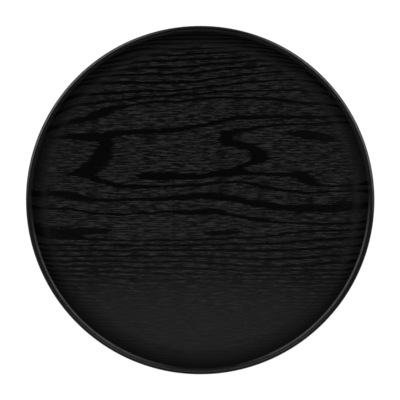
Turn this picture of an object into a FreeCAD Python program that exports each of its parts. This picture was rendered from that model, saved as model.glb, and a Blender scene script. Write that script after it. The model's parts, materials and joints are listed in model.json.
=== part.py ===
import FreeCAD, Part
import math
import os

# A round serving tray, press-moulded from seven wood veneers that are glued face to face, each
# with its grain across its neighbour's. The flat blank is pressed into a shallow dish with a
# cove and a steep wall. Its edge is then trimmed level, and both corners of the rim are rounded.
#
# Frame: millimetres, +Z up, origin at the centre of the flat underside, and +X along the grain of
# the face veneer. The tray is a body of revolution about Z.

# Driving dimensions
tray_diameter = 360.0  # across the widest point of the rim
tray_height = 22.0  # from the underside to the level top of the rim
wall_angle = 72.0  # degrees, between the wall and the floor
cove_radius = 19.0  # inside, where the serving floor turns up into the wall
shoulder_radius = 2.5  # outer corner of the rim
lip_radius = 1.8  # inner corner of the rim
skin_thickness = 0.6  # sliced face and back veneers
core_thickness = 0.9  # rotary-cut core veneers
glue_line_overrun = 3.0  # how far the cutting curves run past the section

# The plies from the underside up, each with its thickness. The grain turns a quarter at each ply:
# the back and face veneers and the long plies run along X, the crossbands run along Y.
plies = [
    ("back_veneer", skin_thickness),
    ("lower_crossband", core_thickness),
    ("lower_long_ply", core_thickness),
    ("centre_crossband", core_thickness),
    ("upper_long_ply", core_thickness),
    ("upper_crossband", core_thickness),
    ("face_veneer", skin_thickness),
]

# Sizes that follow
laminate_thickness = sum(thickness for name, thickness in plies)
underside_cove_radius = cove_radius + laminate_thickness
slope = math.radians(wall_angle)
up_the_wall = FreeCAD.Vector(math.cos(slope), 0, math.sin(slope))
out_of_the_wall = FreeCAD.Vector(math.sin(slope), 0, -math.cos(slope))
straight_up = FreeCAD.Vector(0, 0, 1)


def point(radius, height):
    """A point of the tray's section, which lies in the XZ plane."""
    return FreeCAD.Vector(radius, 0, height)


def centre_off_wall(height, distance):
    """The point at a height whose distance along the wall's outward normal is the one given."""
    radius = (distance + height * math.cos(slope)) / math.sin(slope)
    return point(radius, height)


def arc(centre, radius, start, end):
    """The shorter arc round a centre, between two unit directions."""
    middle = (start + end).normalize()
    return Part.Arc(centre + start * radius, centre + middle * radius, centre + end * radius).toShape()


def line(start, end):
    return Part.LineSegment(start, end).toShape()


# The shoulder's arc touches the tray's full radius and the level top. The wall's outer face is
# tangent to it, and the cove's centre is placed so that the wall is tangent to the cove as well.
shoulder_centre = point(tray_diameter / 2 - shoulder_radius, tray_height - shoulder_radius)
outer_wall_distance = shoulder_centre.dot(out_of_the_wall) + shoulder_radius
inner_wall_distance = outer_wall_distance - laminate_thickness
cove_centre = centre_off_wall(underside_cove_radius, outer_wall_distance - underside_cove_radius)
lip_centre = centre_off_wall(tray_height - lip_radius, inner_wall_distance + lip_radius)
floor_radius = cove_centre.x


def trimmed_section():
    """Half of the tray's section: the whole laminate, with its rim trimmed and rounded."""
    straight_down = straight_up * -1
    into_the_wall = out_of_the_wall * -1
    outline = [
        line(point(0, 0), point(floor_radius, 0)),
        arc(cove_centre, underside_cove_radius, straight_down, out_of_the_wall),
        line(
            cove_centre + out_of_the_wall * underside_cove_radius,
            shoulder_centre + out_of_the_wall * shoulder_radius,
        ),
        arc(shoulder_centre, shoulder_radius, out_of_the_wall, straight_up),
        line(shoulder_centre + straight_up * shoulder_radius, lip_centre + straight_up * lip_radius),
        arc(lip_centre, lip_radius, straight_up, into_the_wall),
        line(lip_centre + into_the_wall * lip_radius, cove_centre + out_of_the_wall * cove_radius),
        arc(cove_centre, cove_radius, out_of_the_wall, straight_down),
        line(point(floor_radius, laminate_thickness), point(0, laminate_thickness)),
        line(point(0, laminate_thickness), point(0, 0)),
    ]
    return Part.Face(Part.Wire(outline))


def glue_line(depth):
    """The joint between two plies, as a curve at a constant depth above the underside."""
    radius = underside_cove_radius - depth
    foot_of_wall = cove_centre + out_of_the_wall * radius
    wall_length = (tray_height - foot_of_wall.z) / math.sin(slope) + glue_line_overrun
    return Part.Wire(
        [
            line(point(-glue_line_overrun, depth), point(floor_radius, depth)),
            arc(cove_centre, radius, straight_up * -1, out_of_the_wall),
            line(foot_of_wall, foot_of_wall + up_the_wall * wall_length),
        ]
    )


def ply_sections():
    """The section sliced along its glue lines, from the underside up."""
    depths = []
    depth = 0.0
    for name, thickness in plies[:-1]:
        depth += thickness
        depths.append(depth)
    sliced, history = trimmed_section().generalFuse([glue_line(depth) for depth in depths])
    return sorted(sliced.Faces, key=lambda face: face.BoundBox.ZMin)


def turned(section):
    """The solid that a section sweeps in a full turn about the tray's axis."""
    return section.revolve(point(0, 0), straight_up, 360)


def main():
    os.makedirs("parts", exist_ok=True)
    sections = ply_sections()
    assert len(sections) == len(plies), "the section fell into the wrong number of plies"
    for (name, thickness), section in zip(plies, sections):
        ply = turned(section)
        assert ply.isValid() and len(ply.Solids) == 1, f"{name} is not one valid solid"
        ply.exportStep(f"parts/{name}.step")
        print(f"{name}: {thickness} mm thick, {ply.Volume / 1000:.2f} cm3")
    print(f"laminate {laminate_thickness:.2f} mm thick, flat floor to radius {floor_radius:.2f} mm")
    print(f"inner corner of the rim at radius {(lip_centre - out_of_the_wall * lip_radius).x:.2f} mm")


main()
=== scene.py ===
import json
import math

import bmesh
import bpy
import numpy as np
from mathutils import Matrix, Vector


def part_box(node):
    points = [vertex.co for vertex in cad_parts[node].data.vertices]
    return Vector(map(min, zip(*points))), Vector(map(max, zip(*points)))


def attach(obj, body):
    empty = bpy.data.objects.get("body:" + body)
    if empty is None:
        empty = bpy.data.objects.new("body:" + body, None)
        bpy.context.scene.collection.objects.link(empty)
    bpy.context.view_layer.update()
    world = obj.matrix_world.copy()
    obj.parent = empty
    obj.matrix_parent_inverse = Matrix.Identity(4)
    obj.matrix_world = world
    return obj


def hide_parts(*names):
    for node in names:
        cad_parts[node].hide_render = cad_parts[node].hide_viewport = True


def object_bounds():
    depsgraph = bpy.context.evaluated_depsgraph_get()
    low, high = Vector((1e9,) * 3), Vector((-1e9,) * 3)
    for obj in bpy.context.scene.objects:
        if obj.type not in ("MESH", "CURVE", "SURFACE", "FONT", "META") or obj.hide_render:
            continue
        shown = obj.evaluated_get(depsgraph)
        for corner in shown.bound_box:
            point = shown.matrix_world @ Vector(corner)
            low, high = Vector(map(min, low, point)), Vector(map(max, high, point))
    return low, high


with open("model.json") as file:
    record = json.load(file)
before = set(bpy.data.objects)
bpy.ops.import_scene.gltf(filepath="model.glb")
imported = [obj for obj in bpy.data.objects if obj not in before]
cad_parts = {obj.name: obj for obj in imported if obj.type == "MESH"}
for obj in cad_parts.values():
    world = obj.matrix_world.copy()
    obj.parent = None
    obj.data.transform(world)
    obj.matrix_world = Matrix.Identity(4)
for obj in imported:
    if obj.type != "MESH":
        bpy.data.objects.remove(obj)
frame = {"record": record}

cad_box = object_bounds()


# Back veneer: the ply that lies against the mould. It is sliced ash, straight in the grain, and is
# the underside, the outside of the wall and the outermost ring of the rim. Like every ply it is
# pressed between its neighbours into a shallow dish, then trimmed level and rounded with them.

tray_radius = cad_box[1].x
tray_height = cad_box[1].z
mounts = {mount["name"]: mount for mount in frame["record"]["mounts"]}
laminate = mounts["serving_floor"]["pos_m"][2]
slope = math.radians(72)
cove_radius = 0.019
shoulder_radius = 0.0025
lip_radius = 0.0018
sector_steps = 30
sector_doublings = 4
cove_steps = 16
shoulder_steps = 20
lip_steps = 12
sharp_corner = math.radians(40)
merge_distance = 1e-6
rounding = 1e-9

out_of_the_wall = Vector((math.sin(slope), 0, -math.cos(slope)))


def centre_off_wall(height, distance):
    """The point at a height that lies this far along the wall's outward normal."""
    return Vector(((distance + height * math.cos(slope)) / math.sin(slope), 0, height))


def arc(centre, radius, start, end, steps):
    """Points of an arc in the section, between two angles from straight out towards straight up."""
    turns = [start + (end - start) * step / steps for step in range(steps + 1)]
    return [centre + radius * Vector((math.cos(turn), 0, math.sin(turn))) for turn in turns]


shoulder_centre = Vector((tray_radius - shoulder_radius, 0, tray_height - shoulder_radius))
outer_wall = shoulder_centre.dot(out_of_the_wall) + shoulder_radius
outer_cove = cove_radius + laminate
cove_centre = centre_off_wall(outer_cove, outer_wall - outer_cove)
lip_centre = centre_off_wall(tray_height - lip_radius, outer_wall - laminate + lip_radius)
floor_radius = cove_centre.x

straight_up = math.pi / 2
off_the_wall = slope - straight_up
rim_outline = arc(shoulder_centre, shoulder_radius, off_the_wall, straight_up, shoulder_steps)
rim_outline += arc(lip_centre, lip_radius, straight_up, off_the_wall + math.pi, lip_steps)


def depth_of(place):
    """How far a point near the rim lies inside the outer wall."""
    return outer_wall - place.dot(out_of_the_wall)


def rim_between(outer, inner):
    """The part of the rim's outline between two depths, from the outer one inwards."""
    kept = [rim_outline[0]] if outer < merge_distance else []
    for here, there in zip(rim_outline, rim_outline[1:]):
        start, end = depth_of(here), depth_of(there)
        cuts = [cut for cut in (outer, inner) if start < cut < end]
        kept += [here.lerp(there, (cut - start) / (end - start)) for cut in cuts]
        if outer <= end <= inner + rounding:
            kept.append(there)
    return kept


def pressed_ply(name, under, over, floor_rings):
    """A ply's mesh, turned from its section between two heights above the underside."""
    lower_cove = arc(cove_centre, outer_cove - under, -straight_up, off_the_wall, cove_steps)
    upper_cove = arc(cove_centre, outer_cove - over, off_the_wall, -straight_up, cove_steps)
    section = [Vector((radius, 0, under)) for radius in floor_rings]
    section += lower_cove + rim_between(under, over) + upper_cove
    section += [Vector((radius, 0, over)) for radius in reversed(floor_rings)]
    bm = bmesh.new()
    corners = [bm.verts.new(place) for place in section]
    edges = [bm.edges.new(pair) for pair in zip(corners, corners[1:])]
    turn = math.tau / 2**sector_doublings
    line = corners + edges
    bmesh.ops.spin(bm, geom=line, cent=(0, 0, 0), axis=(0, 0, 1), angle=turn, steps=sector_steps)
    for doubling in range(sector_doublings):
        copy = bmesh.ops.duplicate(bm, geom=bm.verts[:] + bm.edges[:] + bm.faces[:])["geom"]
        copied = [item for item in copy if isinstance(item, bmesh.types.BMVert)]
        further = Matrix.Rotation(turn * 2**doubling, 3, "Z")
        bmesh.ops.rotate(bm, verts=copied, cent=(0, 0, 0), matrix=further)
    bmesh.ops.remove_doubles(bm, verts=bm.verts, dist=merge_distance)
    bmesh.ops.recalc_face_normals(bm, faces=bm.faces)
    for face in bm.faces:
        face.smooth = True
    mesh = bpy.data.meshes.new(name)
    bm.to_mesh(mesh)
    bm.free()
    mesh.set_sharp_from_angle(angle=sharp_corner)
    return mesh


def flat_blank(mesh):
    """Each vertex's place on the ply before it was pressed, in metres, kept as an attribute."""
    places = np.empty(len(mesh.vertices) * 3)
    mesh.vertices.foreach_get("co", places)
    x, y, z = places.reshape(-1, 3).T
    radius = np.maximum(np.hypot(x, y), rounding)
    out, down = radius - cove_centre.x, cove_centre.z - z
    turned = np.clip(np.arctan2(out, down), 0, slope)
    bend_radius = out * np.sin(turned) + down * np.cos(turned)
    up_wall = np.where(turned < slope, 0, out * math.cos(slope) - down * math.sin(slope))
    along = np.where(out > 0, cove_centre.x + bend_radius * turned + up_wall, radius)
    blank = np.column_stack((x / radius * along, y / radius * along, z * 0))
    kept = mesh.attributes.new("blank", "FLOAT_VECTOR", "POINT")
    kept.data.foreach_set("vector", blank.astype(np.float32).ravel())
    return blank


def added(mesh, material):
    """The mesh as an object in the scene, in its material."""
    mesh.materials.append(material)
    piece = bpy.data.objects.new(mesh.name, mesh)
    bpy.context.scene.collection.objects.link(piece)
    return piece


def joined(tree, node_type, values, **settings):
    """A new node with its settings, and each input given a value or a link."""
    node = tree.nodes.new(node_type)
    for name, setting in settings.items():
        setattr(node, name, setting)
    for socket, value in values.items():
        if isinstance(value, bpy.types.NodeSocket):
            tree.links.new(value, node.inputs[socket])
        else:
            node.inputs[socket].default_value = value
    return node


def maths(tree, operation, *values):
    """The result of one sum on values or links."""
    return joined(tree, "ShaderNodeMath", dict(enumerate(values)), operation=operation).outputs[0]


def faded(tree, value, start, end, low=0.0, high=1.0):
    """The value read as a smooth step from low at start to high at end."""
    limits = {"Value": value, "From Min": start, "From Max": end, "To Min": low, "To Max": high}
    return joined(tree, "ShaderNodeMapRange", limits, interpolation_type="SMOOTHSTEP").outputs["Result"]


def streaks(tree, place, length, height, detail=2.0, roughness=0.5):
    """Noise drawn out along the grain, one streak about this long and this high, in metres."""
    scale = {"Vector": place, "Scale": (1 / length, 1 / height, 1 / height)}
    drawn_out = joined(tree, "ShaderNodeMapping", scale).outputs[0]
    noise = {"Vector": drawn_out, "Scale": 1.0, "Detail": detail, "Roughness": roughness}
    return joined(tree, "ShaderNodeTexNoise", noise).outputs["Fac"]


def new_group(name, inputs, outputs):
    """A node group, with its inputs and their usual values, and its outputs."""
    group = bpy.data.node_groups.new(name, "ShaderNodeTree")
    for label, value in inputs.items():
        kind = "NodeSocketFloat" if isinstance(value, float) else "NodeSocketVector"
        group.interface.new_socket(name=label, in_out="INPUT", socket_type=kind).default_value = value
    for label in outputs:
        group.interface.new_socket(name=label, in_out="OUTPUT", socket_type="NodeSocketFloat")
    return group, group.nodes.new("NodeGroupInput").outputs, group.nodes.new("NodeGroupOutput").inputs


# The wood of both veneers, as one node group of masks. Late growth stands dark and smooth between
# open early growth that is full of short dark fibres, and fine pores run with the grain.

wood_inputs = {"Growth": 0.0, "Blank": (0.0, 0.0, 0.0), "Fray": 0.2, "Late Share": 0.3}
wood_masks = ["Late", "Fibre", "Dashes", "Pores", "Relief"]
veneer_wood, wood_in, wood_out = new_group("veneer_wood", wood_inputs, wood_masks)
furthest_drift = 0.0045
wander = streaks(veneer_wood, wood_in["Blank"], length=0.070, height=0.016, detail=1.0)
wander = maths(veneer_wood, "MULTIPLY", wander, furthest_drift)
drift = joined(veneer_wood, "ShaderNodeCombineXYZ", {"Y": wander}).outputs[0]
along_grain = joined(
    veneer_wood, "ShaderNodeVectorMath", {0: wood_in["Blank"], 1: drift}, operation="ADD"
).outputs[0]

ragged = streaks(veneer_wood, along_grain, length=0.018, height=0.0017, detail=4.0, roughness=0.7)
ragged = maths(veneer_wood, "SUBTRACT", ragged, 0.5)
grown = maths(veneer_wood, "MULTIPLY_ADD", ragged, wood_in["Fray"], wood_in["Growth"])
season = maths(veneer_wood, "FRACT", grown)
into_late = maths(veneer_wood, "ADD", maths(veneer_wood, "SUBTRACT", season, 1.0), wood_in["Late Share"])
late_begins = faded(veneer_wood, into_late, -0.06, 0.04)
late_ends = faded(veneer_wood, season, 0.97, 1.0, low=1.0, high=0.0)
late = maths(veneer_wood, "MULTIPLY", late_begins, late_ends)
fibre = streaks(veneer_wood, along_grain, length=0.015, height=0.0017, detail=4.0, roughness=0.8)
dashes = streaks(veneer_wood, along_grain, length=0.015, height=0.0011, detail=2.0, roughness=0.6)
dashes = faded(veneer_wood, dashes, 0.50, 0.42)
pores = streaks(veneer_wood, along_grain, length=0.0042, height=0.00026, detail=1.0, roughness=0.5)
open_wood = faded(veneer_wood, season, 0.0, 0.7, low=1.0, high=0.35)
pores = maths(veneer_wood, "MULTIPLY", faded(veneer_wood, pores, 0.58, 0.68), open_wood)
fibre_height, dash_height, late_height = 0.4, -0.5, 0.4
relief = maths(veneer_wood, "SUBTRACT", maths(veneer_wood, "MULTIPLY", fibre, fibre_height), pores)
relief = maths(veneer_wood, "MULTIPLY_ADD", dashes, dash_height, relief)
relief = maths(veneer_wood, "MULTIPLY_ADD", late, late_height, relief)
for label, mask in zip(wood_masks, (late, fibre, dashes, pores, relief)):
    veneer_wood.links.new(mask, wood_out[label])


# The rim's lacquer and painted highlights, as a second group. The trimmed edge is sanded smooth and
# lacquered more thickly than the dish. Along its inner lip a paler grey is a painted highlight, most of
# all on the near side, and its outer shoulder carries painted highlights at two places on the far side.

lip_middle = lip_centre.x - lip_radius - 0.0001
shoulder_middle = shoulder_centre.x + 0.0005
painted_highlight_edge, painted_highlight_core = 0.0009, 0.0005
painted_highlight_fades, painted_highlight_full = tray_radius * 0.72, tray_radius * 0.95
# Directions in which the painted highlights are strongest: the lip's near side and the shoulder's far
# side.
lip_highlight_left = (-0.74, -0.67, 0.0)
lip_highlight_right = (0.79, -0.61, 0.0)
shoulder_highlight_left = (-0.76, 0.65, 0.0)
shoulder_highlight_right = (0.82, 0.57, 0.0)
rim_lacquer_and_painted_highlight, rim_in, rim_out = new_group("rim_lacquer_and_painted_highlight", {"Place": (0.0, 0.0, 0.0)}, ["Sanded", "Painted Highlight"])
rim_height = joined(rim_lacquer_and_painted_highlight, "ShaderNodeSeparateXYZ", {0: rim_in["Place"]}).outputs["Z"]
sanded = faded(rim_lacquer_and_painted_highlight, rim_height, tray_height - 0.0019, tray_height - 0.0013)
level_place = joined(
    rim_lacquer_and_painted_highlight, "ShaderNodeVectorMath", {0: rim_in["Place"], 1: (1, 1, 0)}, operation="MULTIPLY"
).outputs[0]
from_axis = joined(rim_lacquer_and_painted_highlight, "ShaderNodeVectorMath", {0: level_place}, operation="LENGTH")
from_axis = from_axis.outputs["Value"]


def painted_highlight_ring(middle, highlight_directions, away_from_highlights):
    """Painted highlight along one corner of the rim, strongest towards the given directions."""
    off_middle = maths(rim_lacquer_and_painted_highlight, "ABSOLUTE", maths(rim_lacquer_and_painted_highlight, "SUBTRACT", from_axis, middle))
    on_ring = faded(rim_lacquer_and_painted_highlight, off_middle, painted_highlight_edge, painted_highlight_core)
    towards_highlights = []
    for highlight_direction in highlight_directions:
        pair = {0: level_place, 1: highlight_direction}
        towards = joined(rim_lacquer_and_painted_highlight, "ShaderNodeVectorMath", pair, operation="DOT_PRODUCT")
        towards_highlights.append(faded(rim_lacquer_and_painted_highlight, towards.outputs["Value"], painted_highlight_fades, painted_highlight_full, low=away_from_highlights))
    return maths(rim_lacquer_and_painted_highlight, "MULTIPLY", on_ring, maths(rim_lacquer_and_painted_highlight, "MAXIMUM", *towards_highlights))


highlight_patch_noise = {"Vector": rim_in["Place"], "Scale": 90.0, "Detail": 3.0}
highlight_patches = joined(rim_lacquer_and_painted_highlight, "ShaderNodeTexNoise", highlight_patch_noise).outputs["Fac"]
highlight_patches = faded(rim_lacquer_and_painted_highlight, highlight_patches, 0.3, 0.6, low=0.7, high=1.0)
# The painted highlights: a paler grey along the lip and the shoulder, broken up by noise.
painted_highlight = maths(
    rim_lacquer_and_painted_highlight,
    "MAXIMUM",
    painted_highlight_ring(lip_middle, (lip_highlight_left, lip_highlight_right), 0.08),
    painted_highlight_ring(shoulder_middle, (shoulder_highlight_left, shoulder_highlight_right), 0.0),
)
painted_highlight = maths(rim_lacquer_and_painted_highlight, "MULTIPLY", painted_highlight, highlight_patches)
near_top = faded(rim_lacquer_and_painted_highlight, rim_height, tray_height - 0.0042, tray_height - 0.0030)
painted_highlight = maths(rim_lacquer_and_painted_highlight, "MULTIPLY", painted_highlight, near_top)
rim_lacquer_and_painted_highlight.links.new(sanded, rim_out["Sanded"])
rim_lacquer_and_painted_highlight.links.new(painted_highlight, rim_out["Painted Highlight"])


def stained_wood(name):
    """A material with its shader, ready for its colour, roughness and relief."""
    material = bpy.data.materials.new(name)
    material.use_nodes = True
    return material, material.node_tree, material.node_tree.nodes["Principled BSDF"]


def kept_value(tree, name, output):
    """An attribute of the mesh."""
    return joined(tree, "ShaderNodeAttribute", {}, attribute_name=name).outputs[output]


def between(tree, factor, low, high):
    """A number between two others, by the factor."""
    return joined(tree, "ShaderNodeMix", {0: factor, 2: low, 3: high}, data_type="FLOAT").outputs[0]


def placed(tree, group, values):
    """A node group placed in a material, with its inputs given."""
    node = tree.nodes.new("ShaderNodeGroup")
    node.node_tree = group
    for label, value in values.items():
        if isinstance(value, bpy.types.NodeSocket):
            tree.links.new(value, node.inputs[label])
        else:
            node.inputs[label].default_value = value
    return node.outputs


def wood_of(tree, growth, blank, fray, late_share):
    """The veneer's masks for one material, from its growth rings and its place on the flat blank."""
    wood = {"Growth": growth, "Blank": blank, "Fray": fray, "Late Share": late_share}
    return placed(tree, veneer_wood, wood)


def rim_of(tree):
    """The rim's masks for one material."""
    place = tree.nodes.new("ShaderNodeTexCoord").outputs["Object"]
    return placed(tree, rim_lacquer_and_painted_highlight, {"Place": place})


def lacquered(tree, shader, sanded):
    """The rim's thicker lacquer, as a coat over the stain."""
    cover = 0.9
    tree.links.new(maths(tree, "MULTIPLY", sanded, cover), shader.inputs["Coat Weight"])
    shader.inputs["Coat Roughness"].default_value = 0.24
    shader.inputs["Coat IOR"].default_value = 1.55


def finished(tree, shader, grey, roughness, height, depth):
    """The stain's grey, the coat's roughness and the relief of the grain, joined to the shader."""
    channels = {"Red": grey, "Green": grey, "Blue": grey}
    colour = joined(tree, "ShaderNodeCombineColor", channels).outputs[0]
    tree.links.new(colour, shader.inputs["Base Color"])
    tree.links.new(roughness, shader.inputs["Roughness"])
    bump = joined(tree, "ShaderNodeBump", {"Height": height, "Distance": depth, "Strength": 1.0})
    tree.links.new(bump.outputs[0], shader.inputs["Normal"])


back_material, back_tree, back_shader = stained_wood("stained_back")
back_blank = kept_value(back_tree, "blank", "Vector")
across_grain = joined(back_tree, "ShaderNodeSeparateXYZ", {0: back_blank}).outputs["Y"]
back_ring_width = 0.0034
back_sway_rings = 6.0
back_fray = 0.5
back_late_share = 0.35
back_sway = streaks(back_tree, back_blank, length=0.16, height=0.05, detail=1.0)
back_growth = maths(back_tree, "DIVIDE", across_grain, back_ring_width)
back_growth = maths(back_tree, "MULTIPLY_ADD", back_sway, back_sway_rings, back_growth)
back_wood = wood_of(back_tree, back_growth, back_blank, back_fray, back_late_share)
back_fibre_greys = (0.005, 0.013)
back_dash_grey = 0.003
back_late_grey = 0.0025
back_pore_grey = 0.001
back_painted_highlight_grey = 0.6
early_and_late_roughness = (0.42, 0.28)
back_tone = faded(back_tree, back_wood["Fibre"], 0.3, 0.7)
back_grey = between(back_tree, back_tone, *back_fibre_greys)
back_grey = between(back_tree, back_wood["Dashes"], back_grey, back_dash_grey)
back_grey = between(back_tree, back_wood["Late"], back_grey, back_late_grey)
back_grey = between(back_tree, back_wood["Pores"], back_grey, back_pore_grey)
back_roughness = between(back_tree, back_wood["Late"], *early_and_late_roughness)
back_rim = rim_of(back_tree)
# Painted highlight: a pale grey along the rim wherever the painted highlight mask lies.
back_grey = between(back_tree, back_rim["Painted Highlight"], back_grey, back_painted_highlight_grey)
lacquered(back_tree, back_shader, back_rim["Sanded"])
back_relief = 0.00004
finished(back_tree, back_shader, back_grey, back_roughness, back_wood["Relief"], back_relief)

back_rings = [0, floor_radius * 0.5, floor_radius - 0.002]
back_mesh = pressed_ply("back_veneer_ply", 0.0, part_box("lower_crossband")[0].z, back_rings)
flat_blank(back_mesh)
back_piece = added(back_mesh, back_material)
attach(back_piece, "root")
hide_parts("back_veneer")


# Core plies: five rotary-cut veneers, glued all over and crossed with one another. They show only as
# hair-fine rings in the sanded, stained rim, so one plain stained wood does for all of them.

core_material, core_tree, core_shader = stained_wood("stained_core")
core_place = core_tree.nodes.new("ShaderNodeTexCoord").outputs["Object"]
core_grain = streaks(core_tree, core_place, length=0.0015, height=0.0005, detail=3.0, roughness=0.6)
core_greys = (0.003, 0.012)
core_roughnesses = (0.24, 0.34)
core_painted_highlight_grey = 0.8
core_grey = between(core_tree, core_grain, *core_greys)
core_roughness = between(core_tree, core_grain, *core_roughnesses)
core_rim = rim_of(core_tree)
# Painted highlight: a pale grey along the rim wherever the painted highlight mask lies.
core_grey = between(core_tree, core_rim["Painted Highlight"], core_grey, core_painted_highlight_grey)
lacquered(core_tree, core_shader, core_rim["Sanded"])
core_relief = 0.00002
finished(core_tree, core_shader, core_grey, core_roughness, core_grain, core_relief)

core_plies = [
    "lower_crossband",
    "lower_long_ply",
    "centre_crossband",
    "upper_long_ply",
    "upper_crossband",
]
above = dict(zip(core_plies, core_plies[1:] + ["face_veneer"]))
for core_ply in core_plies:
    under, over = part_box(core_ply)[0].z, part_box(above[core_ply])[0].z
    core_mesh = pressed_ply(core_ply + "_sheet", under, over, [0, floor_radius * 0.9])
    core_piece = added(core_mesh, core_material)
    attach(core_piece, "root")
    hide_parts(core_ply)


# Face veneer: sliced ash glued over the upper crossband, cut through the crown of the log, so that
# its growth rings surface as long tongues and hooks. They are drawn ring by ring, in
# millimetres on the flat blank, and a smooth field of growth is laid through them.

face_late_share = 0.42
face_fray = 0.5
thin_line = 2.0
thin_line_taper = 0.008

# The sharp edges, where each year's late growth ends, by the number of the ring.
late_edge = {
    0: [
        (84, 69.9), (90, 71.2), (98, 72.4), (107, 73.1), (116, 72.6), (124, 71.2), (132, 68.9),
        (140, 65.6), (145.5, 62.6), (90, 68.4), (97, 66.3), (106, 64.6), (116, 62.9), (126, 61.9),
        (136, 61.5), (144, 61.7),
    ],
    1: [
        (165, 84), (150, 83), (130, 81.5), (110, 80.5), (90, 79.9), (75, 79.2), (60, 77.2),
        (50, 75.8), (40, 74.9), (30, 73), (22, 72), (18.5, 68), (17.5, 64), (15.5, 61), (19, 58.3),
        (23, 56.6), (31, 56.4), (36, 54.5), (42, 53.4), (48, 51.3), (51.5, 49), (52.3, 45),
        (51, 41), (47, 38.8), (41, 37), (34, 34.3), (28, 33), (20, 31.4), (14, 30.8), (8, 28.5),
        (0, 27.3), (-20, 28.2), (-40, 29), (-55, 29.3), (-62, 28.5), (-67, 24.5), (-62, 21.2),
        (-50, 20.4), (-30, 20.7), (-10, 20.9), (0, 22.2), (15, 23.6), (30, 24.7), (45, 25.8),
        (60, 25.7), (75, 24.9), (90, 24.6), (96, 22), (102, 19), (110, 16), (118, 14), (130, 13.9),
        (150, 14.6), (165, 15.6),
    ],
    2: [
        (165, 90.5), (150, 89.5), (130, 88.3), (110, 88.7), (90, 89), (70, 88.9), (55, 88.2),
        (42, 88.6), (37, 90), (33, 88), (28, 86), (20, 84), (10, 81.8), (0, 79.5), (-10, 78.9),
        (-18, 77.2), (-30, 76.3), (-38, 74.8), (-50, 74.2), (-70, 73.4), (-90, 71.8), (-110, 71.3),
        (-128, 70), (-142, 68.8), (-150, 66.8), (-155, 64.6), (-150, 62.6), (-138, 62.8),
        (-128, 62.2), (-116, 61.3), (-106, 60), (-109, 57), (-111, 51), (-115, 46), (-120, 41),
        (-124, 37), (-131, 32), (-139, 29.5), (-142, 27.3), (-136, 25), (-127, 23.8), (-118, 21.3),
        (-110, 18.8), (-101, 16.6), (-94, 13.4), (-82, 12.4), (-65, 11.7), (-50, 11.7), (-35, 12.9),
        (-20, 13.2), (-8, 14.2), (2, 14.4), (10, 16), (22, 17.2), (35, 17.6), (47, 16.9),
        (56, 14.8), (64, 12), (72, 10.6), (84, 9.2), (96, 7.8), (110, 6.4), (124, 6.7), (138, 8.2),
        (150, 8.4), (165, 8.6),
    ],
    3: [
        (-155, 78), (-145, 81), (-135, 84.3), (-125, 87), (-115, 91), (-105, 95), (-92, 98.5),
        (-80, 99.2), (-70, 100.5), (-60, 102), (-50, 103.2), (-35, 104), (-20, 104.3), (-8, 106.2),
        (5, 107.4), (18, 108.6), (32, 108.4), (45, 107.6), (60, 107.8), (72, 107), (85, 105.7),
        (100, 103.6), (115, 102.2), (130, 101.4), (150, 100.5), (-165, 3), (-150, 2.6), (-142, 2.2),
        (-136, 0), (-128, -1.2), (-118, -2), (-105, -1.6), (-92, -1.9), (-80, -1.5), (-65, -0.8),
        (-50, -0.9), (-38, -0.8), (-25, 0), (-10, 0.6), (5, 1), (20, 0.5), (30, -0.6), (38, -2.2),
        (46, -5.5), (54, -7.2), (65, -8.7), (74, -10.8), (88, -11), (96, -13.2), (108, -15.2),
        (118, -13), (128, -14.2), (138, -13), (150, -11.4), (165, -10.5),
    ],
    4: [
        (-165, -9.5), (-150, -10.3), (-135, -10.4), (-127, -12), (-118, -14), (-108, -15.3),
        (-98, -15.2), (-86, -16.6), (-76, -15.6), (-64, -14.8), (-52, -15), (-40, -14.1),
        (-28, -14), (-14, -15.2), (0, -15.3), (12, -15.8), (22, -16), (32, -17.3), (42, -19.3),
        (50, -21.6), (60, -23), (72, -23.6), (86, -23.8), (100, -24.9), (115, -25.4), (130, -26.1),
        (145, -25.6), (165, -24.6),
    ],
    5: [
        (-160, -40.5), (-150, -41.9), (-135, -42.1), (-120, -41.7), (-105, -42.2), (-92, -42.8),
        (-75, -43.2), (-60, -43.6), (-45, -42.6), (-30, -43), (-15, -42.8), (0, -42.6), (12, -41.8),
        (25, -41.2), (40, -40.3), (55, -40.2), (68, -39.2), (80, -37.6), (90, -35.6), (100, -34.7),
        (115, -33.6), (130, -32.9), (150, -32.4), (165, -31.6),
    ],
}

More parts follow.
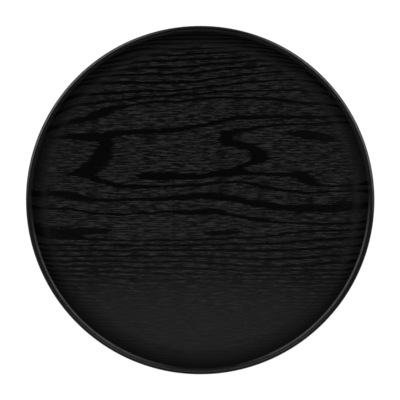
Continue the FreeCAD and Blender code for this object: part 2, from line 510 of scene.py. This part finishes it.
# The soft edges, where each late growth begins.
late_start = {
    1: [
        (165, 81.5), (150, 80.5), (130, 79.2), (110, 78.6), (90, 77.9), (75, 76.8), (60, 74.6),
        (50, 71.8), (41, 71), (35.5, 68.5), (34.5, 65), (37, 62), (45, 60.5), (55, 60), (60, 56),
        (67, 52.5), (71, 48), (70.5, 41), (62, 38.5), (54, 37), (48, 34.5), (46.5, 31.5),
        (52, 29.8), (65, 29.2), (80, 28.7), (92, 28.7), (103, 30), (112, 29.3), (118.5, 25.5),
        (122, 20.5), (126, 16.4), (134, 15.3), (150, 16), (165, 17),
    ],
    2: [
        (165, 88), (150, 87), (130, 85.6), (110, 84.8), (90, 85), (70, 85.2), (55, 84.4), (42, 84),
        (32, 83), (22, 80.8), (10, 77.8), (0, 76.3), (-10, 74), (-20, 71.6), (-35, 70.3),
        (-50, 69.2), (-70, 68.2), (-86, 67.2), (-91, 64), (-91, 57), (-91, 49), (-92, 43),
        (-98, 39), (-101, 34), (-105, 30), (-108, 26.5), (-104, 22.5), (-94, 19.3), (-84, 17.4),
        (-70, 16), (-55, 15.3), (-40, 15.6), (-25, 16), (-10, 16.7), (2, 17), (10, 19), (22, 19.3),
        (35, 20), (47, 19.3), (56, 17.6), (64, 16.2), (72, 14.6), (84, 12), (96, 10.4), (110, 8.9),
        (124, 8.7), (138, 10.1), (150, 10.2), (165, 10.3),
    ],
    3: [
        (-155, 73.5), (-145, 76), (-135, 79), (-125, 80.5), (-115, 83), (-105, 85.5), (-95, 88.5),
        (-88, 93.5), (-78, 96.3), (-70, 98.6), (-60, 99.9), (-50, 101.2), (-35, 102), (-20, 102),
        (-8, 104.2), (5, 105.2), (18, 106.2), (32, 106), (45, 105.2), (60, 105.4), (72, 104.6),
        (85, 103), (100, 101.2), (115, 99.8), (130, 99), (150, 98), (-165, 9), (-150, 9.3),
        (-138, 9.3), (-128, 8.5), (-122, 4.5), (-112, 1.9), (-100, 1.3), (-88, 1.3), (-76, 1.8),
        (-62, 2.6), (-50, 2.8), (-38, 3.6), (-28, 4.8), (-16, 5.6), (-4, 6.8), (5, 7.5), (16, 7.2),
        (25, 6), (31, 4), (40, 4.8), (47, 2.8), (54, 0.6), (65, -1.2), (76, -3), (90, -4.6),
        (104, -5.1), (120, -4.7), (134, -3.8), (146, -2.2), (165, -2.5),
    ],
    4: [
        (-165, -7.3), (-150, -8.2), (-135, -8.4), (-127, -9.8), (-118, -11.3), (-108, -13.2),
        (-98, -13.3), (-86, -13.9), (-76, -14), (-64, -12.3), (-52, -12.6), (-40, -11.2),
        (-28, -10.7), (-14, -11), (-4, -9.8), (8, -9.4), (20, -9.6), (28, -12.5), (36, -15.2),
        (46, -16.4), (56, -17.8), (68, -19.3), (76, -21.8), (86, -22.4), (100, -23), (115, -23.2),
        (130, -24.2), (145, -24), (165, -22.8),
    ],
    5: [
        (165, -30), (150, -30.9), (130, -31.3), (115, -31.9), (100, -33), (90, -33.8), (80, -35.9),
        (68, -37.6), (55, -38.6), (40, -38.7), (25, -39.6), (12, -40.3), (0, -41), (-15, -41.2),
        (-30, -41.4), (-45, -41), (-60, -42), (-75, -41.7), (-92, -41), (-105, -40.2), (-118, -39),
        (-124, -36.5), (-116, -36), (-104, -34.6), (-93, -32.6), (-108, -30), (-120, -29.2),
        (-135, -28.4), (-150, -28.2), (-165, -28),
    ],
}

# The middles of late growths too thin to have two edges.
thin = {
    4: [
        (-145, 94), (-135, 97), (-125, 99.6), (-115, 100.8), (-105, 102), (-95, 103.3),
        (-85, 104.3), (-75, 105.4), (-65, 107), (-50, 108.3), (-30, 108.8), (-20, 110.2), (0, 111),
        (10, 112.2), (20, 113.2), (40, 113.4), (55, 114), (70, 114.4), (85, 115), (100, 115),
        (112, 113.8), (125, 112.5),
    ],
    5: [
        (-125, 110), (-110, 110.8), (-95, 111.6), (-80, 112.5), (-70, 113.3), (-50, 114.4),
        (-30, 113.9), (-15, 115.4), (0, 117.4), (12, 118.7), (25, 119.6), (35, 121), (45, 122.4),
        (60, 123.7), (75, 124.8), (90, 125.6), (105, 125.3), (118, 124.5),
    ],
    6: [
        (-125, 122), (-110, 122.6), (-95, 122.4), (-80, 123.1), (-60, 122.5), (-40, 122.8),
        (-20, 123), (0, 124.7), (10, 126.2), (20, 127.4), (30, 128.8), (45, 130.8), (60, 132.4),
        (75, 133.8), (90, 134.6), (105, 135.5), (-160, -47), (-140, -47), (-120, -47.5),
        (-100, -46.6), (-85, -47.6), (-60, -47.6), (-40, -47), (-20, -47.6), (0, -46.7),
        (15, -47.2), (30, -46.4), (50, -46.2), (70, -45.8), (85, -45), (100, -43.4), (115, -42.3),
        (130, -41.3), (150, -40), (165, -39.6),
    ],
    7: [
        (-115, 127.2), (-100, 129.5), (-85, 130.7), (-65, 131), (-50, 132), (-35, 131), (-20, 132),
        (0, 133.6), (12, 135.3), (25, 137), (40, 138.2), (60, 139.4), (80, 140.5), (-155, -52.8),
        (-135, -52.8), (-115, -52.9), (-95, -52.8), (-75, -53), (-55, -52.3), (-42, -53),
        (-22, -52.1), (0, -52.7), (20, -52.3), (35, -53.1), (60, -53.2), (80, -52.5), (100, -52),
        (115, -51.1), (130, -49.8), (150, -48.4), (165, -48),
    ],
    8: [
        (-105, 134), (-90, 135.2), (-75, 136.4), (-62, 137.9), (-45, 138.6), (-25, 138.8),
        (-10, 139.5), (5, 141.6), (25, 143), (45, 144.6), (65, 145.6), (-155, -58.5), (-130, -58.9),
        (-105, -58.6), (-80, -58.6), (-50, -58.8), (-20, -59), (10, -58.9), (30, -60), (50, -61.2),
        (70, -61.9), (90, -61.3), (110, -60.4), (130, -58.3), (150, -57.5), (165, -57),
    ],
    9: [
        (-100, 139), (-85, 140.4), (-70, 143), (-55, 145.1), (-35, 145.8), (-15, 147.1), (5, 147.6),
        (25, 148.4), (45, 149.8), (60, 151), (-150, -64), (-120, -63.8), (-95, -63.8), (-70, -64.7),
        (-45, -64.7), (-20, -64.3), (0, -65.2), (12, -66.8), (30, -67.3), (45, -69), (65, -70.2),
        (85, -69.6), (105, -69.4), (120, -68), (132, -65.8), (150, -65.5),
    ],
    10: [
        (-90, 145), (-75, 147.3), (-65, 150.5), (-50, 151.6), (-25, 151.2), (-8, 152.8),
        (10, 153.8), (30, 154.8), (50, 156), (-150, -69.2), (-115, -69.3), (-85, -69.7), (-62, -71),
        (-30, -71.1), (-5, -72.1), (20, -72.7), (45, -74), (75, -74), (100, -73.2), (130, -73.4),
        (150, -73.4),
    ],
    11: [
        (-60, 158.7), (-35, 157.8), (-10, 158.1), (15, 159.2), (40, 160.5), (-145, -74.4),
        (-110, -74.8), (-80, -75.4), (-55, -76.5), (-25, -77.3), (5, -78), (40, -78.6), (75, -78.5),
        (110, -78), (145, -78.2),
    ],
    12: [
        (0, 163.8), (-130, -79.2), (-100, -80.2), (-75, -82.6), (-50, -84.5), (-28, -84),
        (0, -82.3), (28, -83.2), (55, -82.6), (85, -82.4), (120, -82.6),
    ],
    13: [
        (-125, -85.5), (-100, -86.8), (-75, -89.2), (-45, -89.3), (-15, -88), (15, -88),
        (45, -87.6), (80, -87), (120, -87.2),
    ],
    14: [
        (-120, -90), (-90, -91.4), (-60, -93), (-30, -92.8), (0, -92), (40, -92), (80, -91.4),
        (120, -91.5),
    ],
}

# Places between the lines, each with its growth, that keep the field level there.
stray = [
    (-140, 65.8, 1.85), (-125, 66, 1.82), (-112, 66, 1.8), (-130, 27.5, 1.85), (-118, 30, 1.8),
    (-50, 24.8, 0.76), (-35, 24.8, 0.74), (-20, 24.5, 0.73), (0, 24.9, 0.74), (7, 26, 0.74),
    (14, 27.2, 0.74), (20, 28, 0.76), (26, 64, 0.84), (0, 50, 1.35), (-60, 50, 1.4), (100, 50, 0.4),
    (130, 45, 0.35), (100, 69.8, -0.2), (110, 68.8, -0.3), (122, 67.2, -0.4), (133, 65.2, -0.39),
    (95, 70, -0.1), (152, 63.2, 0.1), (160, 62.5, 0.14), (154, 70, 0.1), (165, 66, 0.18),
    (120, 55, 0.2), (150, 55, 0.22), (-130, 48, 2.3), (-160, 48, 2.35), (0, 92, 2.35),
    (100, 94, 2.35), (-60, 88, 2.35), (10, -34.8, 4.82), (22, -34.3, 4.88), (34, -33.8, 4.82),
    (3, -34.6, 4.56), (41, -33.6, 4.56), (22, -32.1, 4.56), (22, -36.4, 4.56), (10, -32.6, 4.55),
    (34, -31.6, 4.55), (10, -36.8, 4.55), (34, -35.9, 4.55), (22, -38.4, 4.42), (-155, -33, 4.72),
    (-140, -34, 4.7), (-126, -34.5, 4.78), (-112, -33, 4.76), (-102, -32, 4.7), (-150, -38, 4.85),
    (-130, -38.5, 4.85), (-150, -24, 4.42), (-120, -24, 4.4), (-90, -25, 4.34), (-60, -24, 4.3),
    (-30, -24, 4.3), (0, -25, 4.3), (30, -27, 4.32), (-90, -34, 4.46), (150, 24, 0.45),
    (165, 24, 0.42), (150, 34, 0.4), (165, 34, 0.38), (178, 28, 0.4), (140, 26, 0.42),
    (-45, -34, 4.42), (-60, -34, 4.42), (-30, -34, 4.42), (-12, -34, 4.45), (60, -32, 4.45),
]

# Straight growth at the near edge, below the last line: across the grain, then growth.
rows = [(-110, 18.7), (-135, 25.5), (-165, 33.6), (-185, 39)]

known_growth = [(x, y, ring) for ring, places in late_edge.items() for x, y in places]
for ring, places in late_start.items():
    known_growth += [(x, y, ring - face_late_share) for x, y in places]
for ring, places in thin.items():
    for x, y in places:
        width = thin_line - thin_line_taper * x if y > 0 else thin_line
        half = math.copysign(width / 2, y)
        known_growth += [(x, y + half, ring), (x, y - half, ring - face_late_share)]
known_growth += stray
known_growth += [(x, y, ring) for x in (-120, -40, 40, 120) for y, ring in rows]
far_edge, far_growth = 185, 15.8
known_growth += [(x, far_edge, far_growth) for x in (-80, 0, 80)]

grain_stretch = 0.35
slack = 0.5
millimetres = 1000
known = np.array(known_growth)
knots = known[:, :2] * (grain_stretch, 1)


def bend(apart):
    """The thin plate's own spline: how much one knot lifts the plate at a distance."""
    return apart**2 * np.log(np.maximum(apart, rounding))


gaps = np.linalg.norm(knots[:, None] - knots[None], axis=2)
plate = bend(gaps) + slack * np.eye(len(knots))
level = np.column_stack((np.ones(len(knots)), knots))
system = np.block([[plate, level], [level.T, np.zeros((3, 3))]])
pulls = np.linalg.solve(system, np.append(known[:, 2], (0, 0, 0)))


def growth_at(blank):
    """The growth ring that surfaces at each place of the blank, as a smooth plate through the knots."""
    at = blank[:, :2] * millimetres * (grain_stretch, 1)
    found = []
    for part in np.array_split(at, 40):
        apart = np.linalg.norm(part[:, None] - knots[None], axis=2)
        found.append(bend(apart) @ pulls[:-3] + pulls[-3] + part @ pulls[-2:])
    return np.concatenate(found)


face_ring_count = 60
face_rings = [floor_radius * ring / face_ring_count for ring in range(face_ring_count)]
face_mesh = pressed_ply("face_veneer_ply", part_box("face_veneer")[0].z, laminate, face_rings)
face_blank = flat_blank(face_mesh)
growth = face_mesh.attributes.new("growth", "FLOAT", "POINT")
growth.data.foreach_set("value", growth_at(face_blank).astype(np.float32))

face_material, face_tree, face_shader = stained_wood("stained_face")
ring_growth = kept_value(face_tree, "growth", "Fac")
face_place = kept_value(face_tree, "blank", "Vector")
across_face = joined(face_tree, "ShaderNodeSeparateXYZ", {0: face_place}).outputs["Y"]
face_wood = wood_of(face_tree, ring_growth, face_place, face_fray, face_late_share)

# Towards the near edge the fine lines and the dark late growth fade into one even tone, a painted sheen.
painted_sheen_near, painted_sheen_far = -0.122, -0.070
painted_sheen_share, painted_sheen_even_tone = 0.72, 0.36
painted_sheen_tone = faded(face_tree, across_face, painted_sheen_near, painted_sheen_far, low=painted_sheen_share, high=0.0)
outside_painted_sheen = maths(face_tree, "SUBTRACT", 1.0, painted_sheen_tone)
face_late = maths(face_tree, "MULTIPLY", face_wood["Late"], outside_painted_sheen)
face_tone = faded(face_tree, face_wood["Fibre"], 0.43, 0.59)
between_dashes = maths(face_tree, "SUBTRACT", 1.0, face_wood["Dashes"])
face_tone = maths(face_tree, "MULTIPLY", face_tone, between_dashes)
# Painted sheen: towards the near edge the tone evens out and the late growth fades.
face_tone = between(face_tree, painted_sheen_tone, face_tone, painted_sheen_even_tone)

# The cove is painted a darker grey, a painted shade, and given a duller, rougher finish.
cove_shade_starts, cove_shade_full = floor_radius - 0.006, floor_radius + 0.012
from_centre = joined(face_tree, "ShaderNodeVectorMath", {0: face_place}, operation="LENGTH")
from_centre = from_centre.outputs["Value"]
painted_cove_shade_and_dullness = faded(face_tree, from_centre, cove_shade_starts, cove_shade_full, high=0.8)

face_fibre_greys = (0.002, 0.22)
cove_painted_shade_grey = 0.045
face_late_grey = 0.0008
face_pore_grey = 0.001
face_painted_highlight_grey = 0.9
face_fibre_roughnesses = (0.36, 0.48)
face_late_roughness = 0.2
cove_roughness = 0.5
face_grey = between(face_tree, face_tone, *face_fibre_greys)
# Painted shade: the wood in the cove takes a darker grey than the floor.
face_grey = between(face_tree, painted_cove_shade_and_dullness, face_grey, cove_painted_shade_grey)
face_grey = between(face_tree, face_late, face_grey, face_late_grey)
face_grey = between(face_tree, face_wood["Pores"], face_grey, face_pore_grey)
face_roughness = between(face_tree, face_tone, *face_fibre_roughnesses)
face_roughness = between(face_tree, face_late, face_roughness, face_late_roughness)
face_roughness = between(face_tree, painted_cove_shade_and_dullness, face_roughness, cove_roughness)
face_rim = rim_of(face_tree)
# Painted highlight: a pale grey along the rim wherever the painted highlight mask lies.
face_grey = between(face_tree, face_rim["Painted Highlight"], face_grey, face_painted_highlight_grey)
lacquered(face_tree, face_shader, face_rim["Sanded"])
face_relief = 0.00003
finished(face_tree, face_shader, face_grey, face_roughness, face_wood["Relief"], face_relief)

face_piece = added(face_mesh, face_material)
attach(face_piece, "root")
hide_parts("face_veneer")


# The studio: a plain white table top, four soft lights over it and a camera straight above. The
# table lies just under the tray, and can be seen through from below.

table_half_width = 8
table_gap = 0.0004
table = bmesh.new()
bmesh.ops.create_grid(table, x_segments=4, y_segments=4, size=table_half_width)
bmesh.ops.translate(table, verts=table.verts, vec=(0, 0, -table_gap))
table_mesh = bpy.data.meshes.new("table_top")
table.to_mesh(table_mesh)
table.free()
table_material, table_tree, table_shader = stained_wood("white_table")
table_place = table_tree.nodes.new("ShaderNodeTexCoord").outputs["Object"]
table_mottle = streaks(table_tree, table_place, length=0.3, height=0.3, detail=3.0)
table_tone = between(table_tree, table_mottle, 0.86, 0.92)
table_roughness = between(table_tree, table_tone, 0.85, 0.95)
table_relief = 0.0001
finished(table_tree, table_shader, table_tone, table_roughness, table_tone, table_relief)
table_shader.inputs["Specular IOR Level"].default_value = 0.0
table_shader.inputs["Emission Color"].default_value = (1, 1, 1, 1)
table_shader.inputs["Emission Strength"].default_value = 1.0
table_side = table_tree.nodes.new("ShaderNodeNewGeometry").outputs["Backfacing"]
table_tree.links.new(maths(table_tree, "SUBTRACT", 1.0, table_side), table_shader.inputs["Alpha"])
table_piece = added(table_mesh, table_material)


def soft_light(name, azimuth, tilt, distance, width, depth, power):
    """A light aimed at the tray, turned clockwise from the far side and tilted off the vertical."""
    lamp = bpy.data.lights.new(name, "AREA")
    lamp.shape = "RECTANGLE"
    lamp.size = width
    lamp.size_y = depth
    lamp.energy = power
    stand = bpy.data.objects.new(name, lamp)
    turn, lean = math.radians(azimuth), math.radians(tilt)
    aim = Vector((math.sin(turn) * math.sin(lean), math.cos(turn) * math.sin(lean), math.cos(lean)))
    stand.location = aim * distance
    stand.rotation_mode = "QUATERNION"
    stand.rotation_quaternion = aim.to_track_quat("Z", "Y")
    stand.visible_camera = False
    bpy.context.scene.collection.objects.link(stand)


soft_light("far_left_light", -25, 42, 1.5, 1.6, 0.8, 0.6)
soft_light("left_light", -95, 36, 1.2, 1.0, 0.7, 0.34)
soft_light("right_light", 68, 33, 1.2, 1.0, 0.7, 0.32)
soft_light("near_light", 180, 20, 0.6, 0.36, 0.055, 0.085)

room = bpy.data.worlds.new("studio")
bpy.context.scene.world = room
room.use_nodes = True
room_tree = room.node_tree
room_on_tray, room_in_view = 0.04, 0.9
seen = room_tree.nodes.new("ShaderNodeLightPath").outputs["Is Camera Ray"]
room_strength = between(room_tree, seen, room_on_tray, room_in_view)
room_tree.links.new(room_strength, room_tree.nodes["Background"].inputs["Strength"])
room_tree.nodes["Background"].inputs["Color"].default_value = (1, 1, 1, 1)

camera_height = 1.1664
camera_data = bpy.data.cameras.new("camera")
camera_data.lens = 100
camera_data.sensor_width = 36
camera = bpy.data.objects.new("camera", camera_data)
camera.location = (-0.0002, 0.0001, camera_height)
bpy.context.scene.collection.objects.link(camera)
bpy.context.scene.camera = camera
bpy.context.scene.view_settings.view_transform = "Standard"
